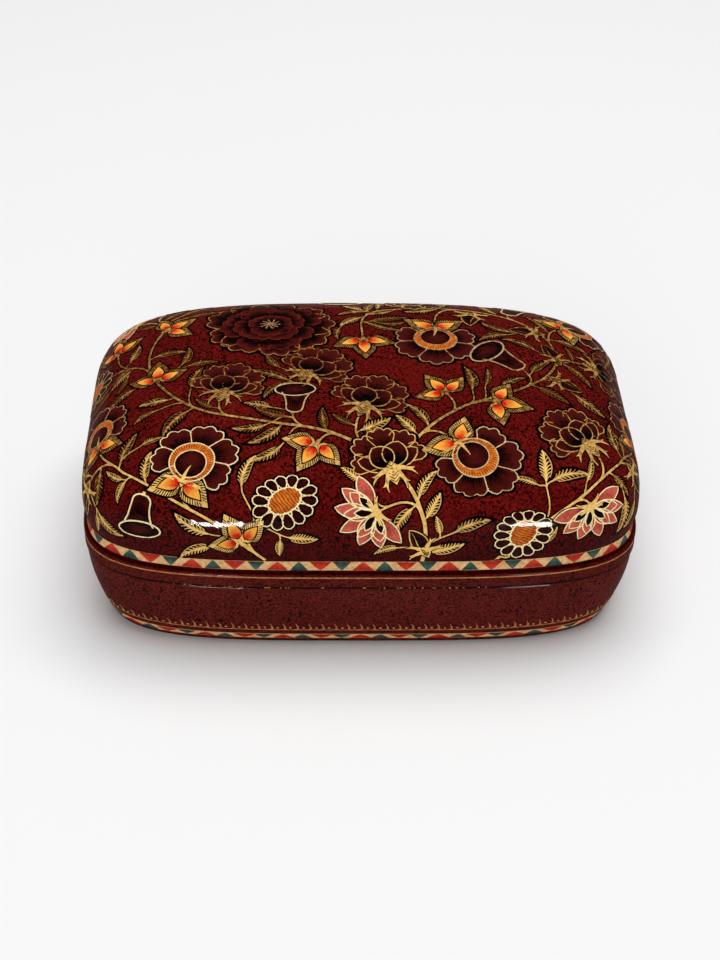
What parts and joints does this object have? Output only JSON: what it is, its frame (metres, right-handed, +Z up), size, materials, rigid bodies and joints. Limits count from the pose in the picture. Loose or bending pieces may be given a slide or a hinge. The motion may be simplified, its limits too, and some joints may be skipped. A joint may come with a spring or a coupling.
{
  "type": "lidded papier-mache box",
  "caption": "Oblong papier-mâché box with rounded corners, drawn-in foot and a domed lift-off lid that seats over an inner collar, painted with a floral spray under lacquer.",
  "frame": {"origin": "centre of the flat underside, on the table", "axes": "+X along the length, +Y from front to back, +Z up, the way the lid lifts"},
  "size_m": [0.152, 0.102, 0.0622],
  "materials": {
    "base_lacquer": "gloss",
    "collar_lacquer": "satin",
    "lid_lacquer": "gloss",
    "rim_lacquer": "gloss"
  },
  "bodies": {
    "base": {"base_shell": "base_lacquer", "base_collar": "collar_lacquer"},
    "lid": {"lid_shell": "lid_lacquer", "lid_rim": "rim_lacquer"}
  },
  "joints": [
    {"name": "lid_lift", "type": "slide", "parent": "base", "child": "lid", "axis": [0, 0, 1], "range_m": [0, 0.04]}
  ]
}
